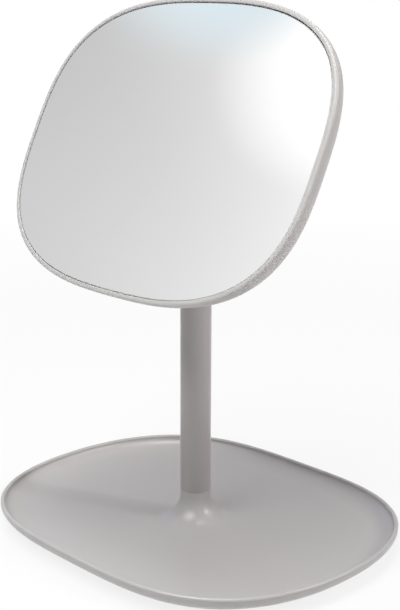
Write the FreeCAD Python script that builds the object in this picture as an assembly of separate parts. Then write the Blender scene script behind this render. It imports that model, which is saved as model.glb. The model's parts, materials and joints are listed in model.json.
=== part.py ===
import FreeCAD, Part
import math
import os

# A tabletop vanity mirror.  A weighted tray base carries a tube post, and a
# mirror head in the shape of a soft rounded rectangle tilts on a friction
# hinge at the top of the post.
#
# Units are millimetres.  +Z is up, +X runs along the tray's long side and the
# mirror faces -Y.  The origin is the centre of the base's underside.
# The head is modelled in its own frame (see seat_head) and then tilted back
# to the position in which the mirror stands.

Vec = FreeCAD.Vector

# ---------------------------------------------------------------- dimensions

# Tray base.  Both outlines are |x/a|^p + |y/b|^q = 1, see class Outline.
tray_length = 212.8
tray_depth = 172.0
tray_end_power = 3.3
tray_side_power = 2.18
tray_rim = 2.4
tray_rim_round = 1.1
tray_inner_depth = 6.2
tray_inner_sweep = 12.6
tray_outer_sweep = 20.0
floor_thickness = 2.2

# Underside of the base: a moulded wall round the steel plate, and the pad.
foot_wall = 2.0
pad_thickness = 1.5
pad_margin = 1.0
ballast_thickness = 2.5
ballast_gap = 0.3

# Flared neck that is moulded with the tray.
neck_height = 15.7
neck_flare = 13.0
spigot_length = 8.0
sleeve_diameter = 9.0
sleeve_bore = 5.4

# Post.
post_diameter = 16.0
post_wall = 1.2
plug_length = 14.0
post_bolt_diameter = 5.0
post_bolt_length = 40.0
post_bolt_head = 10.0
post_bolt_socket = 3.0

# Tilt hinge on top of the post.
pivot_height = 193.7
pivot_diameter = 5.0
pivot_socket = 3.0
tongue_thickness = 8.0
tongue_round = 7.0
collar_thickness = 2.0
collar_drop = 8.2
tongue_stem_length = 20.0
cross_pin_diameter = 3.0
friction_washer_thickness = 0.8
friction_washer_diameter = 13.0
ear_thickness = 3.0
ear_spigot_height = 1.0
bracket_width = 44.0
bracket_height = 36.0
bracket_thickness = 3.0
bracket_corner = 5.0
bracket_root_fillet = 2.5
tilt_stop_gap = 0.6
button_head_diameter = 9.5
button_head_height = 2.8
spring_washer_diameter = 10.0
spring_washer_thickness = 1.0
nut_across_flats = 8.0
nut_height = 5.0
thread_end = 0.5
cap_wall = 1.2
cap_end_room = 0.5
cap_round = 1.0

# Screws that hold the bracket on the back shell.
screw_diameter = 3.0
screw_length = 8.0
screw_head = 6.0
screw_socket = 2.0
screw_spacing_x = 32.0
screw_spacing_y = 24.0
insert_diameter = 4.6
insert_length = 4.6
boss_diameter = 8.6

# Mirror head.
head_width = 198.7
head_height = 153.0
head_end_power = 2.72
head_side_power = 2.89
head_thickness = 12.0
head_offset = 27.2
head_back_round = 10.0
head_lip = 2.4
head_lip_round = 1.2
head_lip_break = 0.3
back_wall = 2.2
ledge_width = 3.0
glass_thickness = 3.0
glass_gap = 0.4
glass_sag = 0.15
glass_recess = 0.4
glass_arris = 0.4
film_thickness = 0.2
film_margin = 1.0
tape_thickness = 1.0
tape_length = 34.0
tape_width = 12.0
rest_spacing_x = 104.0
rest_spacing_y = 42.0
middle_rest_spacing_y = 84.0

# Angle, back from upright, at which the head stands.
rest_tilt = 26.2

# Clearances.
running_fit = 0.05
thread_fit = 0.05
plug_fit = 0.02
washer_fit = 0.05

# Straight stretch between the tray's swept side and its rounded rim.
rim_land = 0.05

# Largest share of its wall that each round may take.
rim_round_share = 0.47
lip_round_share = 0.6
lip_break_share = 0.3
cavity_round_share = 0.9

# Two places closer than this count as the same.
near = 1e-4

# ------------------------------------------------------------ derived levels

ballast_bottom = pad_thickness
ballast_top = ballast_bottom + ballast_thickness
floor_top = ballast_top + floor_thickness
rim_top = floor_top + tray_inner_depth
rim_round = min(tray_rim_round, rim_round_share * tray_rim)
sweep_top = rim_top - rim_round - rim_land
recess_inset = tray_outer_sweep + foot_wall
seam_height = floor_top + neck_height
spigot_top = seam_height + spigot_length

post_radius = post_diameter / 2
post_bore = post_radius - post_wall
collar_top = pivot_height - collar_drop
post_top = collar_top - collar_thickness

ear_inner = tongue_thickness / 2 + washer_fit + friction_washer_thickness
ear_outer = ear_inner + ear_thickness
ear_face = ear_outer + ear_spigot_height
cap_bore = tongue_round - cap_wall

head_back = head_offset - head_thickness
bracket_face = head_back - bracket_thickness
glass_front = head_offset - glass_recess
glass_back = glass_front - glass_thickness
ledge_level = glass_back - film_thickness
rest_level = ledge_level - tape_thickness
cavity_level = head_back + back_wall
cavity_inset = head_lip + ledge_width
glass_inset = head_lip + glass_gap


# ------------------------------------------------------------ shared helpers

class Outline:
    """Soft rounded rectangle |x/a|^p + |y/b|^q = 1 and its parallel curves."""

    points_per_turn = 64

    def __init__(self, length, depth, end_power, side_power):
        self.a = length / 2
        self.b = depth / 2
        self.p = end_power
        self.q = side_power

    def radius(self, angle):
        """Distance from the centre to the outline, found by bisection."""
        across = abs(math.cos(angle)) / self.a
        along = abs(math.sin(angle)) / self.b
        low, high = 0.0, self.a + self.b
        for _ in range(60):
            middle = (low + high) / 2
            inside = (middle * across) ** self.p + (middle * along) ** self.q < 1
            low, high = (middle, high) if inside else (low, middle)
        return low

    def point(self, angle, inset, level):
        """Point of the parallel curve that lies inset inside the outline."""
        reach = self.radius(angle)
        x = reach * math.cos(angle)
        y = reach * math.sin(angle)
        slope_x = math.copysign(self.p / self.a * abs(x / self.a) ** (self.p - 1), x)
        slope_y = math.copysign(self.q / self.b * abs(y / self.b) ** (self.q - 1), y)
        step = inset / math.hypot(slope_x, slope_y)
        return Vec(x - step * slope_x, y - step * slope_y, level)

    def wire(self, inset, level):
        turn = 2 * math.pi / self.points_per_turn
        points = [self.point(i * turn, inset, level) for i in range(self.points_per_turn)]
        curve = Part.BSplineCurve()
        curve.interpolate(Points=points, PeriodicFlag=True)
        return Part.Wire(curve.toShape())

    def prism(self, inset, bottom, top):
        return Part.Face(self.wire(inset, bottom)).extrude(Vec(0, 0, top - bottom))


def edges_at(shape, level):
    """Edges that lie flat at one height."""
    found = []
    for edge in shape.Edges:
        box = edge.BoundBox
        if abs(box.ZMin - level) < near and abs(box.ZMax - level) < near:
            found.append(edge)
    return found


def rounded_at(shape, level, radius):
    return shape.makeFillet(radius, edges_at(shape, level))


def rod(radius, bottom, top, x=0.0, y=0.0):
    """Cylinder along Z."""
    return Part.makeCylinder(radius, top - bottom, Vec(x, y, bottom))


def cone(lower_radius, upper_radius, bottom, top, x=0.0, y=0.0):
    """Cone along Z."""
    return Part.makeCone(lower_radius, upper_radius, top - bottom, Vec(x, y, bottom))


def cross_rod(radius, start, end, y=0.0, z=0.0):
    """Cylinder along X."""
    return Part.makeCylinder(radius, end - start, Vec(start, y, z), Vec(1, 0, 0))


def block(x, y, z):
    """Box from three (low, high) pairs."""
    return Part.makeBox(x[1] - x[0], y[1] - y[0], z[1] - z[0], Vec(x[0], y[0], z[0]))


def hexagon(across_flats, height, place, direction):
    """Hexagonal prism that grows from place along direction."""
    corner = across_flats / 2 / math.cos(math.pi / 6)
    points = []
    for i in range(7):
        angle = i * math.pi / 3
        points.append(Vec(corner * math.cos(angle), corner * math.sin(angle), 0))
    prism = Part.Face(Part.makePolygon(points)).extrude(Vec(0, 0, height))
    prism.Placement = FreeCAD.Placement(place, FreeCAD.Rotation(Vec(0, 0, 1), direction))
    return prism


def seat_head(shape):
    """Move a shape from the head's frame to its place on the post.

    In the head's frame the origin is the hinge axis, +X is the same as the
    object's, +Y runs up the mirror and +Z comes out of the glass.
    """
    seated = shape.copy()
    seated.rotate(Vec(0, 0, 0), Vec(1, 0, 0), 90 - rest_tilt)
    seated.translate(Vec(0, 0, pivot_height))
    return seated


tray_outline = Outline(tray_length, tray_depth, tray_end_power, tray_side_power)
head_outline = Outline(head_width, head_height, head_end_power, head_side_power)


# --------------------------------------------------------------- base pieces

def neck():
    """Trumpet neck with the spigot that the tube slips over."""
    foot = post_radius + neck_flare
    flare_top = floor_top + neck_flare
    flare = rod(foot, ballast_top, flare_top)
    flare = flare.cut(Part.makeTorus(foot, neck_flare, Vec(0, 0, flare_top)))
    stem = rod(post_radius, ballast_top, seam_height)
    spigot = rod(post_bore - running_fit, seam_height, spigot_top)
    return flare.fuse([stem, spigot])


def bowl(inset, sweep, bottom):
    """Solid bowl whose side sweeps in a quarter ellipse from its flat bottom up to the rim."""
    steps = 6
    sections = []
    for step in range(steps + 1):
        angle = math.pi / 2 * step / steps
        level = bottom + (sweep_top - bottom) * (1 - math.cos(angle))
        sections.append(tray_outline.wire(inset + sweep * (1 - math.sin(angle)), level))
    return Part.makeLoft(sections, True)


def tray_base():
    """Moulded tray: rim, swept side, floor, foot wall and flared neck in one piece."""
    dish = bowl(0, tray_outer_sweep, ballast_bottom)
    dish = dish.fuse(tray_outline.prism(0, sweep_top, rim_top))
    dish = dish.cut(bowl(tray_rim, tray_inner_sweep, floor_top))
    dish = dish.cut(tray_outline.prism(tray_rim, sweep_top, rim_top))
    dish = rounded_at(dish, rim_top, rim_round)
    dish = dish.cut(tray_outline.prism(recess_inset, ballast_bottom, ballast_top)).fuse(neck())
    return dish.cut(rod(sleeve_diameter / 2, ballast_top, spigot_top)).removeSplitter()


def ballast_plate():
    """Steel plate inside the foot wall, countersunk for the post bolt."""
    plate = tray_outline.prism(recess_inset + ballast_gap, ballast_bottom, ballast_top)
    hole = rod(post_bolt_diameter / 2 + thread_fit, ballast_bottom, ballast_top)
    return plate.cut(hole).cut(post_bolt_head_cone())


def base_pad():
    """Non-slip sheet that the mirror stands on."""
    return tray_outline.prism(tray_outer_sweep + pad_margin, 0, pad_thickness)


def post_bolt_head_cone():
    drop = (post_bolt_head - post_bolt_diameter) / 2
    return cone(post_bolt_head / 2, post_bolt_diameter / 2, ballast_bottom, ballast_bottom + drop)


def post_bolt():
    """Countersunk bolt that clamps plate, tray and post together."""
    shank = rod(post_bolt_diameter / 2, ballast_bottom, ballast_bottom + post_bolt_length)
    socket_depth = post_bolt_diameter / 3
    socket = hexagon(post_bolt_socket, socket_depth, Vec(0, 0, ballast_bottom), Vec(0, 0, 1))
    return shank.fuse(post_bolt_head_cone()).cut(socket)


def neck_sleeve():
    """Steel sleeve that takes the clamping load inside the moulded neck."""
    sleeve = rod(sleeve_diameter / 2 - plug_fit, ballast_top, spigot_top)
    return sleeve.cut(rod(sleeve_bore / 2, ballast_top, spigot_top))


# --------------------------------------------------------------- post pieces

def post_tube():
    tube = rod(post_radius, seam_height, post_top).cut(rod(post_bore, seam_height, post_top))
    return tube.cut(cross_pin_hole())


def tube_plug():
    """Threaded plug fixed inside the foot of the tube."""
    plug = rod(post_bore - plug_fit, spigot_top, spigot_top + plug_length)
    thread = post_bolt_diameter / 2 + thread_fit
    return plug.cut(rod(thread, spigot_top, spigot_top + plug_length))


def cross_pin_level():
    return post_top - tongue_stem_length / 2


def cross_pin_hole():
    reach = post_diameter
    return cross_rod(cross_pin_diameter / 2 + plug_fit, -reach, reach, 0, cross_pin_level())


def tongue_cross_pin():
    """Spring pin through the tube and the hinge tongue's stem."""
    half = post_radius - post_wall / 2
    pin = cross_rod(cross_pin_diameter / 2, -half, half, 0, cross_pin_level())
    core = cross_rod(cross_pin_diameter / 4, -half, half, 0, cross_pin_level())
    return pin.cut(core)


def hinge_tongue():
    """Stem, collar and flat tongue; its square rear corner stops the tilt."""
    stem = rod(post_bore - plug_fit, post_top - tongue_stem_length, post_top)
    collar = rod(post_radius, post_top, collar_top)
    half = tongue_thickness / 2
    side = (-half, half)
    barrel = cross_rod(tongue_round, -half, half, 0, pivot_height)
    web = block(side, (-tongue_round, tongue_round), (post_top, pivot_height))
    web = web.common(rod(post_radius, post_top, pivot_height))
    stop_top = pivot_height + bracket_face - tilt_stop_gap
    corner = block(side, (0, tongue_round), (pivot_height, stop_top))
    tongue = stem.fuse([collar, barrel, web, corner])
    bore = cross_rod(pivot_diameter / 2 + running_fit, -half, half, 0, pivot_height)
    return tongue.cut(bore).cut(cross_pin_hole()).removeSplitter()


# -------------------------------------------------------------- hinge pieces
# Everything from here on is modelled in the head's frame.

def screw_places():
    for side in (-1, 1):
        for row in (-1, 1):
            yield side * screw_spacing_x / 2, row * screw_spacing_y / 2


def hinge_ear(side):
    """Plate beside the tongue, with a round spigot for the end cap."""
    low, high = sorted((side * ear_inner, side * ear_outer))
    arm = block((low, high), (-tongue_round, tongue_round), (0, bracket_face))
    end = cross_rod(tongue_round, low, high)
    low, high = sorted((side * ear_outer, side * ear_face))
    spigot = cross_rod(cap_bore - running_fit, low, high)
    return arm.fuse([end, spigot])


def hinge_bracket():
    """Base plate with two ears that straddle the tongue."""
    half_x = bracket_width / 2
    half_y = bracket_height / 2
    plate = block((-half_x, half_x), (-half_y, half_y), (bracket_face, head_back))
    upright = [edge for edge in plate.Edges if edge.BoundBox.ZLength > bracket_thickness / 2]
    plate = plate.makeFillet(bracket_corner, upright)
    body = plate.fuse([hinge_ear(-1), hinge_ear(1)]).removeSplitter()
    body = body.makeFillet(bracket_root_fillet, ear_root_edges(body))
    body = body.cut(cross_rod(pivot_diameter / 2 + thread_fit, -ear_face, ear_face))
    for x, y in screw_places():
        body = body.cut(rod(screw_diameter / 2 + thread_fit, bracket_face, head_back, x, y))
        body = body.cut(screw_head_cone(x, y))
    return body


def ear_root_edges(body):
    """Outer edges where the ears meet the base plate."""
    found = []
    for edge in edges_at(body, bracket_face):
        box = edge.BoundBox
        on_outer_side = box.XLength < near and abs(abs(box.XMin) - ear_outer) < near
        on_end = box.YLength < near and abs(abs(box.YMin) - tongue_round) < near
        if on_outer_side or on_end:
            found.append(edge)
    return found


def screw_head_cone(x, y):
    drop = (screw_head - screw_diameter) / 2
    top = bracket_face + drop
    return cone(screw_head / 2, screw_diameter / 2, bracket_face, top, x, y)


def bracket_screws():
    """Four countersunk screws from the rear."""
    screws = []
    for x, y in screw_places():
        shank = rod(screw_diameter / 2, bracket_face, bracket_face + screw_length, x, y)
        socket = hexagon(screw_socket, screw_diameter / 3, Vec(x, y, bracket_face), Vec(0, 0, 1))
        screws.append(shank.fuse(screw_head_cone(x, y)).cut(socket))
    return Part.makeCompound(screws)


def threaded_inserts():
    """Four brass inserts in the shell's bosses."""
    inserts = []
    for x, y in screw_places():
        outside = rod(insert_diameter / 2, head_back, head_back + insert_length, x, y)
        inside = rod(screw_diameter / 2 + thread_fit, head_back, head_back + insert_length, x, y)
        inserts.append(outside.cut(inside))
    return Part.makeCompound(inserts)


def pivot_bolt():
    """Button-head bolt, the hinge axle; its head lies at -X."""
    tip = ear_face + spring_washer_thickness + nut_height + thread_end
    shank = cross_rod(pivot_diameter / 2, -ear_face, tip)
    head_end = -ear_face - button_head_height
    head = cross_rod(button_head_diameter / 2, head_end, -ear_face)
    rim = [edge for edge in head.Edges if abs(edge.BoundBox.XMax - head_end) < near]
    head = head.makeFillet(button_head_height / 2, rim)
    socket = hexagon(pivot_socket, button_head_height / 2, Vec(head_end, 0, 0), Vec(1, 0, 0))
    return shank.fuse(head).cut(socket)


def spring_washer():
    """Coned disc spring that keeps the hinge tight."""
    start = ear_face
    end = ear_face + spring_washer_thickness
    disc = cross_rod(spring_washer_diameter / 2, start, end)
    return disc.cut(cross_rod(pivot_diameter / 2 + running_fit, start, end))


def pivot_nut():
    start = ear_face + spring_washer_thickness
    nut = hexagon(nut_across_flats, nut_height, Vec(start, 0, 0), Vec(1, 0, 0))
    return nut.cut(cross_rod(pivot_diameter / 2 + thread_fit, start, start + nut_height))


def friction_washers():
    """Plastic washers between the tongue and the ears, fixed to the ears."""
    washers = []
    for side in (-1, 1):
        near = ear_inner - friction_washer_thickness
        low, high = sorted((side * near, side * ear_inner))
        disc = cross_rod(friction_washer_diameter / 2, low, high)
        washers.append(disc.cut(cross_rod(pivot_diameter / 2 + running_fit, low, high)))
    return Part.makeCompound(washers)


def hinge_cap(side):
    """Cup that hides the bolt head or the nut."""
    tip = ear_face + spring_washer_thickness + nut_height + thread_end
    room = tip + cap_end_room
    end = room + cap_wall
    low, high = sorted((side * ear_outer, side * end))
    cup = cross_rod(tongue_round, low, high)
    rim = [edge for edge in cup.Edges if abs(edge.BoundBox.Center.x - side * end) < near]
    cup = cup.makeFillet(cap_round, rim)
    low, high = sorted((side * ear_outer, side * room))
    return cup.cut(cross_rod(cap_bore, low, high))


# --------------------------------------------------------------- head pieces

def glass_rests():
    """Centres of the blocks inside the shell that carry the adhesive tapes."""
    for row in (-1, 1):
        yield -rest_spacing_x / 2, row * rest_spacing_y / 2
        yield 0, row * middle_rest_spacing_y / 2
        yield rest_spacing_x / 2, row * rest_spacing_y / 2


def back_shell():
    """One-piece shell: back, rounded side, lip, ledge, bosses and rests."""
    shell = head_outline.prism(0, head_back, head_offset)
    shell = rounded_at(shell, head_back, head_back_round)
    shell = rounded_at(shell, head_offset, min(head_lip_round, lip_round_share * head_lip))
    shell = shell.cut(head_outline.prism(head_lip, ledge_level, head_offset))
    inner_edge = min(edges_at(shell, head_offset), key=lambda edge: edge.Length)
    shell = shell.makeFillet(min(head_lip_break, lip_break_share * head_lip), [inner_edge])
    cavity = head_outline.prism(cavity_inset, cavity_level, ledge_level)
    inner_round = min(head_back_round - back_wall,
                      cavity_round_share * (ledge_level - cavity_level))
    shell = shell.cut(rounded_at(cavity, cavity_level, inner_round))
    for x, y in glass_rests():
        rest = block((x - tape_length / 2, x + tape_length / 2),
                     (y - tape_width / 2, y + tape_width / 2),
                     (cavity_level, rest_level))
        shell = shell.fuse(rest)
    for x, y in screw_places():
        shell = shell.fuse(rod(boss_diameter / 2, cavity_level, rest_level, x, y))
    for x, y in screw_places():
        depth = head_back + insert_length
        shell = shell.cut(rod(insert_diameter / 2 + plug_fit, head_back, depth, x, y))
        tip = bracket_face + screw_length + thread_end
        shell = shell.cut(rod(screw_diameter / 2 + thread_fit, head_back, tip, x, y))
    return shell.removeSplitter()


def adhesive_tapes():
    """Foam tapes that hold the glass to the shell."""
    tapes = []
    for x, y in glass_rests():
        tapes.append(block((x - tape_length / 2, x + tape_length / 2),
                           (y - tape_width / 2, y + tape_width / 2),
                           (rest_level, ledge_level)))
    return Part.makeCompound(tapes)


def lowered(shape):
    """The glass lies a little low in its recess, as it settles before the tapes grip."""
    return shape.translated(Vec(0, -glass_sag, 0))


def backing_film():
    """Safety film over the silvering."""
    return lowered(head_outline.prism(glass_inset + film_margin, ledge_level, glass_back))


def mirror_glass():
    """Silvered glass with a polished arris round its front edge."""
    glass = head_outline.prism(glass_inset, glass_back, glass_front)
    return lowered(glass.makeChamfer(glass_arris, edges_at(glass, glass_front)))


# -------------------------------------------------------------------- output

def all_pieces():
    stand = {
        "tray_base": tray_base(),
        "ballast_plate": ballast_plate(),
        "base_pad": base_pad(),
        "post_bolt": post_bolt(),
        "neck_sleeve": neck_sleeve(),
        "post_tube": post_tube(),
        "tube_plug": tube_plug(),
        "hinge_tongue": hinge_tongue(),
        "tongue_cross_pin": tongue_cross_pin(),
    }
    head = {
        "hinge_bracket": hinge_bracket(),
        "bracket_screws": bracket_screws(),
        "threaded_inserts": threaded_inserts(),
        "pivot_bolt": pivot_bolt(),
        "pivot_nut": pivot_nut(),
        "spring_washer": spring_washer(),
        "friction_washers": friction_washers(),
        "hinge_cap_left": hinge_cap(-1),
        "hinge_cap_right": hinge_cap(1),
        "back_shell": back_shell(),
        "adhesive_tapes": adhesive_tapes(),
        "backing_film": backing_film(),
        "mirror_glass": mirror_glass(),
    }
    for name, shape in head.items():
        head[name] = seat_head(shape)
    return {**stand, **head}


def main():
    os.makedirs("parts", exist_ok=True)
    for name, shape in all_pieces().items():
        if not shape.isValid():
            raise ValueError(name + " is not a valid shape")
        shape.exportStep(os.path.join("parts", name + ".step"))
        print(f"{name:18s} {len(shape.Solids)} solids {shape.Volume / 1000:8.2f} cm3")


main()
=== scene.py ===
# %% [markdown]
# # A vanity mirror on a tray
#
# The object is a tabletop mirror. A shallow oval tray carries a straight post, and a mirror head
# shaped like a soft rectangle tilts on a hinge behind it. The solids, their places and the
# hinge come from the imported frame, in metres. This lesson builds the surfaces that are seen, gives
# each one a finish and sets up a plain studio round them.

# %% Load the frame
import json
import math

import bmesh
import bpy
from mathutils import Matrix, Quaternion, Vector

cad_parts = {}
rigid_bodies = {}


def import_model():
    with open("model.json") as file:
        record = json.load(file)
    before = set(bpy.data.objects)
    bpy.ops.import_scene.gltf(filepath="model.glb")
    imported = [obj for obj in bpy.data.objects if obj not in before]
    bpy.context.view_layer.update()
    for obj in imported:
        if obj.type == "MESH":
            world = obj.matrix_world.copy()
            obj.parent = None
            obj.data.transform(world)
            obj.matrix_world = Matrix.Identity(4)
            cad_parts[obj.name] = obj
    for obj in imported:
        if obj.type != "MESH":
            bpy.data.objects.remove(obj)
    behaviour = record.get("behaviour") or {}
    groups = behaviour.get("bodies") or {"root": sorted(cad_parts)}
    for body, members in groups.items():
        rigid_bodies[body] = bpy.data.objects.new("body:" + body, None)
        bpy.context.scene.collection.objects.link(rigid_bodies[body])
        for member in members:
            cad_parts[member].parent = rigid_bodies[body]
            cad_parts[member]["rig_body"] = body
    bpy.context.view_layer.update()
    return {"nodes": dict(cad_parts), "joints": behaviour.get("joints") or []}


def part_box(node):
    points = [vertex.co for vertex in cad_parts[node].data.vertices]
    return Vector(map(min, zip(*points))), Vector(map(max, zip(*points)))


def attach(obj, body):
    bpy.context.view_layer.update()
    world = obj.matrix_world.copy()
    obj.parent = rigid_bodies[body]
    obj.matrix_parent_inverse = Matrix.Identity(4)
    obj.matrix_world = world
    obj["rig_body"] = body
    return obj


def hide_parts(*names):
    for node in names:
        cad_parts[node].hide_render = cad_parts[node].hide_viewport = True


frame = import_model()
nodes = frame["nodes"]
MM = 0.001

# %% [markdown]
# ## The outline that repeats
#
# Tray, mirror head and glass all have the same kind of outline: a rectangle so soft that it has
# no straight stretch and no separate corner. Drawing it with arcs would leave visible joints in
# the reflections. The formula |x/a|^p + |y/b|^q = 1 has none, so one small class gives points on
# that curve and on the curves parallel to it.

# %% Soft rectangle outline
HALVINGS = 50


class Outline:
    """Soft rectangle |x/a|^p + |y/b|^q = 1 and its parallel curves."""

    def __init__(self, length, depth, long_power, short_power):
        self.a = length / 2
        self.b = depth / 2
        self.p = long_power
        self.q = short_power

    def radius(self, angle):
        """Distance from the centre to the outline, found by bisection."""
        across = abs(math.cos(angle)) / self.a
        along = abs(math.sin(angle)) / self.b
        low, high = 0.0, self.a + self.b
        for _ in range(HALVINGS):
            middle = (low + high) / 2
            inside = (middle * across) ** self.p + (middle * along) ** self.q < 1
            low, high = (middle, high) if inside else (low, middle)
        return low

    def point(self, angle, inset, level):
        """Point of the parallel curve that lies inset inside the outline."""
        reach = self.radius(angle)
        x, y = reach * math.cos(angle), reach * math.sin(angle)
        slope_x = math.copysign(self.p / self.a * abs(x / self.a) ** (self.p - 1), x)
        slope_y = math.copysign(self.q / self.b * abs(y / self.b) ** (self.q - 1), y)
        step = inset / math.hypot(slope_x, slope_y)
        return Vector((x - step * slope_x, y - step * slope_y, level))


def circle(radius):
    return Outline(2 * radius, 2 * radius, 2, 2)


tray_low, tray_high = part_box("tray_base")
tray_length = 2 * tray_high.x
tray_depth = 2 * tray_high.y
tray_outline = Outline(tray_length, tray_depth, long_power=3.3, short_power=2.18)
print("tray", round(tray_length / MM, 1), "x", round(tray_depth / MM, 1), "mm")

# %% [markdown]
# ## Growing a body from rings
#
# A moulded dish is one cross-section carried round its outline. Spin can't follow an outline that
# isn't a circle, so each body starts as a circle whose vertices are pushed onto the outline, and
# the ring is then extruded again and again. Every vertex remembers its turn, so one station of the
# cross-section places the whole ring. Rounded edges are short runs of stations on an arc.

# %% Ring tools
TURN_LAYER = "turn"
merge_distance = 0.001 * MM
smooth_up_to = math.radians(32)


def arc_stations(outline, centre_inset, centre_level, radius, start, end, steps=8):
    """Stations on an arc; angle 0 points outwards and 90 points up."""
    stations = []
    for i in range(steps + 1):
        angle = math.radians(start + (end - start) * i / steps)
        inset = centre_inset - radius * math.cos(angle)
        stations.append((outline, inset, centre_level + radius * math.sin(angle)))
    return stations


def place_ring(ring, turn, station):
    outline, inset, level = station
    for vert in ring:
        vert.co = outline.point(vert[turn], inset, level)


def ring_body(name, stations, segments=240, closed=False):
    """Mesh object grown ring by ring; closed joins the last ring to the first."""
    bm = bmesh.new()
    turn = bm.verts.layers.float.new(TURN_LAYER)
    ring = bmesh.ops.create_circle(bm, segments=segments, radius=1)["verts"]
    for vert in ring:
        vert[turn] = math.atan2(vert.co.y, vert.co.x)
    place_ring(ring, turn, stations[0])
    first_edges = edges = bm.edges[:]
    for station in stations[1:]:
        grown = bmesh.ops.extrude_edge_only(bm, edges=edges)["geom"]
        ring = [item for item in grown if isinstance(item, bmesh.types.BMVert)]
        edges = [item for item in grown if isinstance(item, bmesh.types.BMEdge)]
        place_ring(ring, turn, station)
    if closed:
        bmesh.ops.remove_doubles(bm, verts=bm.verts, dist=merge_distance)
    else:
        bmesh.ops.edgeloop_fill(bm, edges=first_edges)
        bmesh.ops.edgeloop_fill(bm, edges=edges)
    bmesh.ops.recalc_face_normals(bm, faces=bm.faces)
    bm.verts.layers.float.remove(turn)
    return mesh_object(name, bm)


def mesh_object(name, bm):
    """Link a bmesh as an object that is shaded smooth except at its sharp edges."""
    mesh = bpy.data.meshes.new(name)
    bm.to_mesh(mesh)
    bm.free()
    for face in mesh.polygons:
        face.use_smooth = True
    mesh.set_sharp_from_angle(angle=smooth_up_to)
    made = bpy.data.objects.new(name, mesh)
    bpy.context.scene.collection.objects.link(made)
    size = [round(side / MM, 1) for side in made.dimensions]
    print(name, len(mesh.polygons), "faces,", size, "mm")
    return made


# %% [markdown]
# ## The tray
#
# The tray is one moulding: a thin rim, a side that sweeps up to it in a quarter ellipse both inside
# and outside, and in the middle a neck that flares into the floor like a trumpet. The cross-section
# below runs from the spigot inside the post, down the flare, over the floor, round the rim,
# underneath and back up the bore. The top edge of the neck and the foot of the post each have a
# tiny chamfer, and the two together make the fine groove that is seen where they meet.

# %% Tray
post_low, post_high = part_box("post_tube")
post_radius = post_high.x
seam_level = post_low.z
seam_chamfer = 0.25 * MM

rim = 2.4 * MM
rim_round = 1.1 * MM
inner_depth = 6.2 * MM
inner_sweep = 12.6 * MM
outer_sweep = 20.0 * MM
foot_wall = 2.0 * MM
neck_height = 15.7 * MM
neck_flare = 13.0 * MM
spigot_radius = 6.75 * MM
bore_radius = 4.5 * MM

foot_bottom = tray_low.z
plate_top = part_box("ballast_plate")[1].z
spigot_top = tray_high.z
floor_top = seam_level - neck_height
rim_top = floor_top + inner_depth
rim_land = 0.05 * MM
sweep_top = rim_top - rim_round - rim_land


def sweep_stations(inset, sweep, bottom, steps=16):
    """Quarter ellipse from a flat bottom up to an upright side."""
    stations = []
    for i in range(steps + 1):
        angle = math.pi / 2 * i / steps
        level = bottom + (sweep_top - bottom) * (1 - math.cos(angle))
        stations.append((tray_outline, inset + sweep * (1 - math.sin(angle)), level))
    return stations


def tray_stations():
    neck = circle(post_radius)
    flare_top = floor_top + neck_flare
    edge = tray_outline
    return [
        (neck, post_radius - bore_radius, spigot_top),
        (neck, post_radius - spigot_radius, spigot_top),
        (neck, post_radius - spigot_radius, seam_level),
        (neck, seam_chamfer, seam_level),
        (neck, 0, seam_level - seam_chamfer),
        *arc_stations(neck, -neck_flare, flare_top, neck_flare, 180, 270, steps=18),
        *sweep_stations(rim, inner_sweep, floor_top),
        *arc_stations(edge, rim - rim_round, rim_top - rim_round, rim_round, 180, 90),
        *arc_stations(edge, rim_round, rim_top - rim_round, rim_round, 90, 0),
        *reversed(sweep_stations(0, outer_sweep, foot_bottom)),
        (edge, outer_sweep + foot_wall, foot_bottom),
        (edge, outer_sweep + foot_wall, plate_top),
        (neck, post_radius - bore_radius, plate_top),
        (neck, post_radius - bore_radius, spigot_top),
    ]


tray = ring_body("tray", tray_stations(), closed=True)
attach(tray, "stand")
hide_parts("tray_base")

# %% [markdown]
# ## The head's own frame
#
# The mirror head is easiest to draw lying flat: x across, y up the mirror and z out of the glass,
# with the hinge axis at the origin. One matrix then turns it upright, leans it back to the angle
# where it stands and lifts it to the hinge.

# %% Place of the head
lean_back = math.radians(26.2)
hinge = Vector(frame["joints"][0]["pos_m"])
head_place = Matrix.Translation(hinge) @ Matrix.Rotation(math.pi / 2 - lean_back, 4, "X")


def seat_on_head(piece):
    piece.data.transform(head_place)
    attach(piece, "mirror_head")
    return piece


print("hinge axis at", [round(c / MM, 1) for c in hinge], "mm")

# %% [markdown]
# ## The back shell
#
# The shell is a single thin moulding: a flat back, a broad rounded edge and a narrow lip that
# frames the glass. Inside, a ledge runs under the edge of the glass. The same ring method that made
# the tray gives the shell in one closed skin, from the middle of the back round the lip to the
# middle of the cavity.

# %% Back shell
head_length = 198.7 * MM
head_height = 153.0 * MM
head_depth = 12.0 * MM
head_front = 27.2 * MM
back_round = 10.0 * MM
back_wall = 2.2 * MM
lip = 2.4 * MM
lip_round = 1.2 * MM
lip_break = 0.3 * MM
ledge = 3.0 * MM
glass_recess = 0.4 * MM
glass_thickness = 3.0 * MM
film_thickness = 0.2 * MM
tape_thickness = 1.0 * MM
cavity_round_share = 0.9
middle_patch_radius = 24 * MM

head_outline = Outline(head_length, head_height, long_power=2.72, short_power=2.89)
middle_patch = circle(middle_patch_radius)
head_back = head_front - head_depth
cavity_inset = lip + ledge
cavity_level = head_back + back_wall
glass_front = head_front - glass_recess
glass_back = glass_front - glass_thickness
ledge_level = glass_back - film_thickness
rest_level = ledge_level - tape_thickness
cavity_height = ledge_level - cavity_level
cavity_round = min(back_round - back_wall, cavity_round_share * cavity_height)


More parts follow.
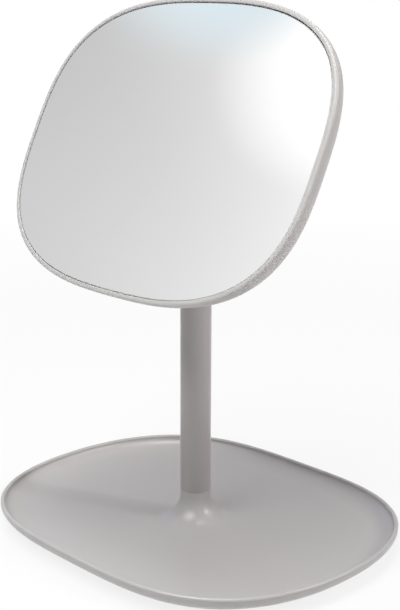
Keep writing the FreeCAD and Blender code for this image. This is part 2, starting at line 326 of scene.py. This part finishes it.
def shell_stations():
    edge = head_outline
    return [
        (middle_patch, 0, head_back),
        *arc_stations(edge, back_round, head_back + back_round, back_round, -90, 0, steps=14),
        *arc_stations(edge, lip_round, head_front - lip_round, lip_round, 0, 90, steps=6),
        *arc_stations(edge, lip - lip_break, head_front - lip_break, lip_break, 90, 180, steps=3),
        (edge, lip, ledge_level),
        (edge, cavity_inset, ledge_level),
        *arc_stations(edge, cavity_inset + cavity_round, cavity_level + cavity_round, cavity_round,
                      0, -90),
        (middle_patch, 0, cavity_level),
    ]


shell = ring_body("shell", shell_stations(), segments=256)

# %% [markdown]
# ## Blocks and bosses
#
# The foam tapes need a level place to stick to and the hinge screws need depth for their brass
# inserts, so blocks and round bosses rise from the back wall. They are moulded in one with the
# shell. Cubes and cylinders that start halfway down in the wall are enough, because the glass hides
# them.

# %% Blocks and bosses
tape_length = 34 * MM
tape_width = 12 * MM
side_tape = Vector((52, 21)) * MM
middle_tape = Vector((0, 42)) * MM
screw_place = Vector((16, 12)) * MM
boss_radius = 4.3 * MM
support_foot = cavity_level - back_wall / 2
support_height = rest_level - support_foot


def support_middle(x, y):
    return Matrix.Translation((x, y, support_foot + support_height / 2))


def tape_places():
    for row in (-1, 1):
        yield -side_tape.x, row * side_tape.y
        yield middle_tape.x, row * middle_tape.y
        yield side_tape.x, row * side_tape.y


def add_supports(shell):
    """Blocks under the foam tapes and bosses round the inserts, from the back wall up."""
    bm = bmesh.new()
    bm.from_mesh(shell.data)
    block = Matrix.Diagonal((tape_length, tape_width, support_height, 1))
    for x, y in tape_places():
        bmesh.ops.create_cube(bm, size=1, matrix=support_middle(x, y) @ block)
    for x in (-screw_place.x, screw_place.x):
        for y in (-screw_place.y, screw_place.y):
            bmesh.ops.create_cone(bm, cap_ends=True, segments=40, radius1=boss_radius,
                                  radius2=boss_radius, depth=support_height,
                                  matrix=support_middle(x, y))
    bm.to_mesh(shell.data)
    bm.free()


add_supports(shell)
seat_on_head(shell)
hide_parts("back_shell")

# %% [markdown]
# ## The mirror
#
# The mirror is a plate of 3 mm float glass, silvered behind, with its front edge ground to a small
# polished bevel called the arris. It lies slightly low in the shell, so the dark gap round it is a
# little wider at the top. The front is left as one flat face, because any unevenness would
# bend the reflection.

# %% Mirror glass
glass_gap = 0.4 * MM
glass_inset = lip + glass_gap
glass_sag = 0.15 * MM
arris = 0.4 * MM
level_face = 0.9


def glass_stations():
    edge = head_outline
    return [
        (middle_patch, 0, glass_back),
        (edge, glass_inset, glass_back),
        (edge, glass_inset, glass_front - arris),
        (edge, glass_inset + arris, glass_front),
        (middle_patch, 0, glass_front),
    ]


glass = ring_body("mirror_plate", glass_stations(), segments=256)
glass.data.transform(Matrix.Translation((0, -glass_sag, 0)))
MIRROR_FACE, EDGE_FACE, BACK_FACE = range(3)
for face in glass.data.polygons:
    if face.normal.z > level_face:
        face.material_index = MIRROR_FACE
    elif face.normal.z < -level_face:
        face.material_index = BACK_FACE
    else:
        face.material_index = EDGE_FACE
seat_on_head(glass)
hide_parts("mirror_glass")

# %% [markdown]
# ## Softening the small parts
#
# Hinge, bolts, plates and pads already have their right shape in the frame, but their edges are
# perfectly sharp, and no cast, turned or moulded part is. Each one is copied, its loose triangles
# are merged, and every sharp edge gets a small bevel that catches the light.

# %% Bevelled copies
flat_within = math.radians(0.4)
crease_from = math.radians(38)


def bevelled_copy(node, width):
    """A merged copy of a node's mesh whose sharp edges are rounded by width."""
    bm = bmesh.new()
    bm.from_mesh(nodes[node].data)
    bmesh.ops.remove_doubles(bm, verts=bm.verts, dist=merge_distance)
    bmesh.ops.dissolve_limit(bm, angle_limit=flat_within, verts=bm.verts, edges=bm.edges)
    sharp = [edge for edge in bm.edges if edge.calc_face_angle(0) > crease_from]
    bmesh.ops.bevel(bm, geom=sharp, offset=width, segments=2, affect="EDGES", profile=0.5,
                    material=-1, clamp_overlap=True)
    piece = mesh_object(node + "_finished", bm)
    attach(piece, nodes[node]["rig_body"])
    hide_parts(node)
    return piece


# Node, slot and width of the rounded edge.
small_part_edges = (
    ("post_tube", "post_grey", 0.25 * MM),
    ("hinge_tongue", "hinge_grey", 0.4 * MM),
    ("hinge_bracket", "hinge_grey", 0.4 * MM),
    ("hinge_cap_left", "cap_grey", 0.2 * MM),
    ("hinge_cap_right", "cap_grey", 0.2 * MM),
    ("bracket_screws", "fastener_steel", 0.1 * MM),
    ("pivot_bolt", "fastener_steel", 0.1 * MM),
    ("pivot_nut", "fastener_steel", 0.2 * MM),
    ("spring_washer", "fastener_steel", 0.1 * MM),
    ("tongue_cross_pin", "fastener_steel", 0.2 * MM),
    ("post_bolt", "fastener_steel", 0.1 * MM),
    ("neck_sleeve", "fastener_steel", 0.2 * MM),
    ("tube_plug", "fastener_steel", 0.3 * MM),
    ("threaded_inserts", "insert_brass", 0.15 * MM),
    ("friction_washers", "washer_nylon", 0.1 * MM),
    ("ballast_plate", "ballast_steel", 0.3 * MM),
    ("base_pad", "pad_black", 0.4 * MM),
    ("adhesive_tapes", "tape_foam", 0.15 * MM),
    ("backing_film", "film_grey", 0.05 * MM),
)
print("nodes:", ", ".join(sorted(nodes)))
small_parts = {node: bevelled_copy(node, width) for node, slot, width in small_part_edges}

# %% [markdown]
# ## Writing finishes as sums
#
# A finish is a small graph of nodes. Written node by node it hides the idea, so one class wraps an
# output socket and lets it be added, subtracted and multiplied like a number. The other class is
# the page that the nodes are put on.

# %% Shader page
class Wire:
    """An output socket that can be used in arithmetic."""

    def __init__(self, page, socket):
        self.page = page
        self.socket = socket

    def maths(self, operation, first, second):
        return self.page.add("ShaderNodeMath", {"operation": operation}, {0: first, 1: second})

    def __add__(self, other):
        return self.maths("ADD", self, other)

    def __rsub__(self, other):
        return self.maths("SUBTRACT", other, self)

    def __mul__(self, other):
        return self.maths("MULTIPLY", self, other)

    def exponential(self):
        return self.maths("EXPONENT", self, 0.0)

    def at_most(self, other):
        return self.maths("MINIMUM", self, other)

    __radd__ = __add__
    __rmul__ = __mul__


class Page:
    """The node tree of one material or of the world."""

    def __init__(self, owner):
        owner.use_nodes = True
        self.owner = owner
        self.tree = owner.node_tree
        self.tree.nodes.clear()

    def add(self, kind, settings=None, sockets=None, output=0):
        """Add a node, set its settings, then fill its sockets, and return one output."""
        node = self.tree.nodes.new(kind)
        for name, value in (settings or {}).items():
            setattr(node, name, value)
        for name, value in (sockets or {}).items():
            if isinstance(value, Wire):
                self.tree.links.new(value.socket, node.inputs[name])
            else:
                node.inputs[name].default_value = value
        return Wire(self, node.outputs[output]) if node.outputs else None

    def place(self):
        return self.add("ShaderNodeTexCoord", output="Object")

    def ray(self, kind):
        """1 for light rays of this kind, 0 for all others."""
        return self.add("ShaderNodeLightPath", output=kind)

    def noise(self, place, size, detail=2.0, roughness=0.5, stretch=(1, 1, 1)):
        """Noise whose blotches are about size metres across."""
        scaled = self.add("ShaderNodeMapping", {}, {"Vector": place, "Scale": stretch})
        sockets = {"Vector": scaled, "Scale": 1 / size, "Detail": detail, "Roughness": roughness}
        return self.add("ShaderNodeTexNoise", {}, sockets)

    def smooth(self, value, low, high):
        """0 below low, 1 above high and an even S between them."""
        settings = {"interpolation_type": "SMOOTHSTEP"}
        sockets = {"Value": value, "From Min": low, "From Max": high}
        return self.add("ShaderNodeMapRange", settings, sockets)

    def blend(self, share, first, second):
        """Mix two colours: inputs 0, 6 and 7 and output 2 are the Mix node's own for colours."""
        sockets = {0: share, 6: first, 7: second}
        return self.add("ShaderNodeMix", {"data_type": "RGBA"}, sockets, output=2)

    def bump(self, height, distance, strength=1.0, normal=None):
        sockets = {"Height": height, "Distance": distance, "Strength": strength}
        if normal:
            sockets["Normal"] = normal
        return self.add("ShaderNodeBump", {}, sockets)

    def surface(self, **sockets):
        """End the page with a Principled surface; names use _ for a space."""
        named = {name.replace("_", " "): value for name, value in sockets.items()}
        shader = self.add("ShaderNodeBsdfPrincipled", {}, named)
        self.add("ShaderNodeOutputMaterial", {}, {"Surface": shader})
        return self.owner


# %% [markdown]
# ## Moulded plastic and paint
#
# Tray and shell are moulded in a warm light grey with a fine satin grain that the tool leaves; the
# shell's grey is a little lighter, as painted light on its lip. Post and hinge are metal, powder
# coated in nearly the same grey; the coat flows before it sets, so its texture is softer and wider.
# The post's grey is a little darker and pinker, as painted shade from the head above and a painted
# pink reflection. Both finishes get a slight cloudiness in colour and gloss, since a perfectly even
# surface looks like a drawing.

# %% Grey finishes
resin_ior = 1.5
unevenness = 0.03


def linear(red, green, blue):
    """A colour given in 8-bit values, as the shader needs it."""
    shades = []
    for value in (red, green, blue):
        share = value / 255
        shades.append(share / 12.92 if share <= 0.04045 else ((share + 0.055) / 1.055) ** 2.4)
    return (*shades, 1.0)


def scaled(colour, factor):
    return (*[channel * factor for channel in colour[:3]], 1.0)


def finish_page(name):
    return Page(bpy.data.materials.new(name))


def clouded_resin(page, cloud, colour, roughness, normal):
    """Plastic or paint whose colour and gloss both wander a little with the cloud."""
    return page.surface(
        Base_Color=page.blend(cloud, scaled(colour, 1 - unevenness), scaled(colour, 1 + unevenness)),
        Roughness=roughness - unevenness + 2 * unevenness * cloud,
        Normal=normal,
        IOR=resin_ior,
    )


def moulded_plastic(name, colour, roughness):
    page = finish_page(name)
    place = page.place()
    cloud = page.noise(place, 45 * MM, detail=3)
    grain = page.noise(place, 0.6 * MM)
    flow = page.bump(page.noise(place, 9 * MM), 0.02 * MM, strength=0.3)
    normal = page.bump(grain, 0.002 * MM, strength=0.2, normal=flow)
    return clouded_resin(page, cloud, colour, roughness, normal)


def powder_coat(name, colour, roughness):
    page = finish_page(name)
    place = page.place()
    cloud = page.noise(place, 30 * MM, detail=3)
    peel = page.noise(place, 0.9 * MM, detail=3, roughness=0.55)
    normal = page.bump(peel, 0.008 * MM, strength=0.35)
    return clouded_resin(page, cloud, colour, roughness, normal)


warm_grey = linear(181, 179, 179)
tray_finish = moulded_plastic("tray_satin", warm_grey, roughness=0.30)
# The shell's grey is lighter than the tray's: painted light for its brighter lip.
shell_lit_finish = moulded_plastic("shell_satin_painted_light", linear(189, 187, 186), roughness=0.36)
cap_finish = moulded_plastic("cap_satin", warm_grey, roughness=0.45)
# The post's grey is darker and pinker than the tray's: painted shade from the head above and a
# painted pink reflection.
post_shaded_finish = powder_coat("post_coat_painted_shade", linear(175, 170, 171), roughness=0.33)
hinge_finish = powder_coat("hinge_coat", linear(170, 167, 166), roughness=0.42)
print("warm grey is", [round(channel, 3) for channel in warm_grey[:3]], "in linear light")

# %% [markdown]
# ## Metals, rubber, foam and film
#
# Bolts and pins are zinc plated, the inserts are brass and the ballast is raw sheet steel. Their
# patterns are small and directional. The pad is black rubber with a fine woven emboss, and the
# foam tape shows its open cells at the cut edge.

# %% Other finishes
def worked_metal(name, colour, roughness, streak):
    """Metal with fine scratches, drawn out along the axes where streak is small."""
    page = finish_page(name)
    place = page.place()
    scratch = page.noise(place, 0.35 * MM, detail=3, roughness=0.6, stretch=streak)
    cloud = page.noise(place, 6 * MM)
    return page.surface(
        Base_Color=page.blend(cloud, scaled(colour, 0.9), scaled(colour, 1.05)),
        Roughness=roughness + 0.12 * scratch,
        Normal=page.bump(scratch, 0.004 * MM, strength=0.5),
        Metallic=1.0,
    )


def rubber_sheet(name):
    page = finish_page(name)
    place = page.place()
    weave = page.add("ShaderNodeTexMagic", {"turbulence_depth": 1},
                     {"Vector": place, "Scale": 900.0, "Distortion": 1.0}, output="Fac")
    dust = page.noise(place, 12 * MM, detail=4)
    return page.surface(
        Base_Color=page.blend(dust, linear(38, 38, 40), linear(54, 54, 56)),
        Roughness=0.78 + 0.12 * dust,
        Normal=page.bump(weave, 0.12 * MM, strength=0.6),
        IOR=resin_ior,
    )


def foam_tape(name):
    page = finish_page(name)
    cells = page.add("ShaderNodeTexVoronoi", {}, {"Vector": page.place(), "Scale": 2600.0})
    return page.surface(
        Base_Color=page.blend(cells, linear(228, 228, 224), linear(206, 206, 202)),
        Roughness=0.9 - 0.05 * cells,
        Normal=page.bump(cells, 0.1 * MM, strength=0.6),
    )


def safety_film(name):
    page = finish_page(name)
    creases = page.noise(page.place(), 4 * MM, stretch=(1, 6, 1))
    return page.surface(
        Base_Color=page.blend(creases, linear(96, 98, 100), linear(112, 114, 116)),
        Roughness=0.35 + 0.1 * creases,
        Normal=page.bump(creases, 0.02 * MM, strength=0.4),
    )


zinc_finish = worked_metal("zinc_plate", linear(188, 190, 192), 0.24, streak=(1, 1, 9))
brass_finish = worked_metal("turned_brass", linear(214, 186, 122), 0.22, streak=(9, 1, 1))
ballast_finish = worked_metal("rolled_steel", linear(140, 140, 142), 0.38, streak=(12, 1, 1))
rubber_finish = rubber_sheet("rubber_pad")
foam_finish = foam_tape("foam_tape")
film_finish = safety_film("safety_film")
nylon_finish = moulded_plastic("natural_nylon", linear(222, 219, 208), roughness=0.38)
print("finishes so far:", ", ".join(sorted(bpy.data.materials.keys())))

# %% [markdown]
# ## Mirror
#
# The silvering reflects nearly everything, evenly in all colours. A smooth metal is the simplest
# true mirror, and a very faint haze in its gloss keeps it from looking computed. The ground edge
# shows the silver through the glass, so it is bright with a faint green cast. The back is painted
# grey. The three finishes go on the plate's front, edge and back faces.

# %% Mirror finishes
def silvered_glass(name):
    page = finish_page(name)
    haze = page.noise(page.place(), 35 * MM, detail=3)
    return page.surface(
        Base_Color=page.blend(haze, linear(243, 243, 243), linear(246, 246, 246)),
        Roughness=0.004 + 0.006 * haze,
        Metallic=1.0,
    )


def polished_edge(name):
    page = finish_page(name)
    ripple = page.noise(page.place(), 3 * MM)
    return page.surface(
        Base_Color=page.blend(ripple, linear(212, 216, 215), linear(232, 235, 234)),
        Roughness=0.14 + 0.08 * ripple,
        Metallic=0.35,
    )


def back_paint(name):
    page = finish_page(name)
    cloud = page.noise(page.place(), 8 * MM, detail=3)
    return page.surface(
        Base_Color=page.blend(cloud, linear(86, 90, 94), linear(98, 102, 106)),
        Roughness=0.55 + 0.1 * cloud,
    )


mirror_finishes = [
    silvered_glass("silvered_glass"),
    polished_edge("polished_arris"),
    back_paint("mirror_paint"),
]
print("mirror finishes:", ", ".join(finish.name for finish in mirror_finishes))

# %% [markdown]
# ## Giving each piece its finish
#
# A mesh keeps a list of finishes, and each of its faces holds a place in that list. A piece with one
# finish needs one entry and the mirror plate three. Small parts that aren't named below are zinc
# plated steel.

# %% Assign the finishes
def give(piece, *finishes):
    while len(piece.data.materials) < len(finishes):
        piece.data.materials.append(None)
    for index, finish in enumerate(finishes):
        piece.data.materials[index] = finish


part_finishes = {
    "post_tube": post_shaded_finish,
    "hinge_tongue": hinge_finish,
    "hinge_bracket": hinge_finish,
    "hinge_cap_left": cap_finish,
    "hinge_cap_right": cap_finish,
    "threaded_inserts": brass_finish,
    "friction_washers": nylon_finish,
    "ballast_plate": ballast_finish,
    "base_pad": rubber_finish,
    "adhesive_tapes": foam_finish,
    "backing_film": film_finish,
}
give(tray, tray_finish)
give(shell, shell_lit_finish)
give(glass, *mirror_finishes)
for node, piece in small_parts.items():
    give(piece, part_finishes.get(node, zinc_finish))
    print(node, "->", piece.data.materials[0].name)

# %% [markdown]
# ## Floor
#
# The object stands on a pale, wide floor. To the camera, and in mirror and metal, it is nearly
# white and fades to pure white further out, but it keeps the soft shadow of the tray. For light
# that bounces off it on to the object it is an ordinary light grey.

# %% Floor
floor_reach = 6.0
fade_from = 0.3
fade_to = 1.0
near_glow = 0.835


def floor_material():
    page = finish_page("studio_floor")
    away = page.add("ShaderNodeVectorMath", {"operation": "LENGTH"}, {0: page.place()},
                    output="Value")
    seen = page.ray("Is Camera Ray") + page.ray("Is Glossy Ray") + page.ray("Is Transmission Ray")
    far = page.smooth(away, fade_from, fade_to)
    paint = page.add("ShaderNodeBsdfDiffuse", {}, {"Color": linear(225, 225, 225)})
    glow = page.add("ShaderNodeEmission", {}, {"Color": (1, 1, 1, 1), "Strength": 1.0})
    share = seen.at_most(1.0) * (near_glow + (1 - near_glow) * far)
    shader = page.add("ShaderNodeMixShader", {}, {0: share, 1: paint, 2: glow})
    page.add("ShaderNodeOutputMaterial", {}, {"Surface": shader})
    return page.owner


bm = bmesh.new()
bmesh.ops.create_grid(bm, x_segments=1, y_segments=1, size=floor_reach)
floor = mesh_object("studio_floor", bm)
give(floor, floor_material())

# %% [markdown]
# ## Light
#
# What the mirror shows is the room, so the world is painted as a plain studio: grey walls that grow
# brighter towards the window side, a soft round screen and a small patch of blue sky. Each of the
# three has a direction, and shows the more, the nearer a reflected ray points to it. A picture of a
# room would do as well, but a few sums keep every edge soft. Only reflections see this pattern; all
# else is lit by an even pale light and by the lamps.

# %% World
window_side = Vector((0.271, -0.696, 0.664))
screen_side = Vector((-0.6462, -0.5276, 0.5514))
sky_side = Vector((-0.7136, -0.3778, 0.5900))

# Shades are in linear light, as the mirror shows them. An edge fades in from its first value to its
# second, and low and high lift the grey below and above the middle of the room.
wall_shade = 0.392
window_shade = 0.014
window_growth = 6.31
screen_shade = 0.174
screen_edge = (0.9961, 1.0)
low_shade = 0.0913
low_edge = (0.0, 0.16)
high_shade = 0.0864
high_edge = (0.50, 0.62)
middle_height = 0.49
sky_blue = (0.784, 0.893, 0.944, 1)
sky_height = (0.465, 0.55)
sky_edge = (0.9910, 0.9969)
pale_light = (0.12, 0.12, 0.12, 1)
white = (1, 1, 1, 1)
brightest = 1.15
mirror_share = 0.9


def facing(page, look, side):
    """How nearly a view looks to one side of the room, 1 being straight at it."""
    return page.add("ShaderNodeVectorMath", {"operation": "DOT_PRODUCT"},
                    {0: look, 1: tuple(side)}, output="Value")


def world_light():
    world = bpy.data.worlds.new("studio")
    bpy.context.scene.world = world
    page = Page(world)
    look = page.add("ShaderNodeTexCoord", output="Generated")
    height = page.add("ShaderNodeSeparateXYZ", {}, {0: look}, output="Z")
    window = window_shade * (window_growth * facing(page, look, window_side)).exponential()
    screen = screen_shade * page.smooth(facing(page, look, screen_side), *screen_edge)
    low = low_shade * page.smooth(middle_height - height, *low_edge)
    high = high_shade * page.smooth(height, *high_edge)
    shade = (wall_shade + window + screen + (low + high)) * (1 / mirror_share)
    shade = shade.at_most(brightest)
    grey = page.add("ShaderNodeCombineColor", {}, {0: shade, 1: shade, 2: shade})
    sky = page.smooth(height, *sky_height) * page.smooth(facing(page, look, sky_side), *sky_edge)
    reflected = page.blend(sky, grey, sky_blue)
    even = page.blend(page.ray("Is Glossy Ray"), pale_light, reflected)
    colour = page.blend(page.ray("Is Camera Ray"), even, white)
    shader = page.add("ShaderNodeBackground", {}, {"Color": colour, "Strength": 1.0})
    page.add("ShaderNodeOutputWorld", {}, {"Surface": shader})


world_light()
print("world painted:", bpy.context.scene.world.name)

# %% [markdown]
# ## Lamps
#
# Round soft lamps stand on a dome round the object, each turned to the same point on the post. The
# wide ones in front and on top give the even light and the soft shadow. The two on the right draw
# the highlights on post and neck, the small one a sharp one, and the weak lilac one on the left
# tints the tray a little.

# %% Lamps
lamp_target = Vector((0, 0, 0.12))
lamp_reach = 1.5
lamp_width = 0.8


def soft_lamp(name, turn, rise, power, colour, width=lamp_width):
    """Round lamp at a turn from the right-hand end and a rise from level, both in degrees."""
    turn, rise = math.radians(turn), math.radians(rise)
    level = math.cos(rise)
    away = Vector((math.cos(turn) * level, math.sin(turn) * level, math.sin(rise)))
    lamp = bpy.data.lights.new(name, "AREA")
    lamp.shape = "DISK"
    lamp.size = width
    lamp.energy = power
    lamp.color = colour
    made = bpy.data.objects.new(name, lamp)
    made.location = lamp_target + lamp_reach * away
    made.rotation_euler = (lamp_target - made.location).to_track_quat("-Z", "Y").to_euler()
    bpy.context.scene.collection.objects.link(made)
    print(name, "at", [round(c, 2) for c in made.location], "with", power, "W")


soft_lamp("front_lamp", turn=271, rise=57, power=16.9, colour=(1.0, 1.0, 0.98), width=1.1)
soft_lamp("top_lamp", turn=0, rise=90, power=11.3, colour=(1.0, 1.0, 1.0))
soft_lamp("back_right_lamp", turn=40, rise=30, power=5.0, colour=(1.0, 0.94, 0.92))
soft_lamp("right_low_lamp", turn=25, rise=30, power=4.6, colour=(1.0, 0.95, 0.95), width=0.12)
soft_lamp("left_lamp", turn=165, rise=25, power=1.1, colour=(0.42, 0.42, 1.0))

# %% [markdown]
# ## Camera
#
# A short telephoto stands in front to the right and looks down on the tray by about fifteen
# degrees. The long lens keeps the far rim of the tray from shrinking too much.

# %% Camera
camera_place = Vector((440.1, -428.4, 282.1)) * MM
camera_aim = Vector((-0.69101, 0.67717, -0.25246))
camera_roll = math.radians(0.2)
focal_length = 73.5
film_width = 36
camera = bpy.data.cameras.new("camera")
camera.sensor_width = film_width
camera.lens = focal_length
camera_object = bpy.data.objects.new("camera", camera)
camera_object.location = camera_place
upright = camera_aim.to_track_quat("-Z", "Y")
camera_object.rotation_euler = (upright @ Quaternion((0, 0, 1), camera_roll)).to_euler()
bpy.context.scene.collection.objects.link(camera_object)
bpy.context.scene.camera = camera_object
bpy.context.scene.view_settings.view_transform = "Standard"
print("camera", round(camera_place.length, 2), "m from the tray's centre,", focal_length, "mm lens")
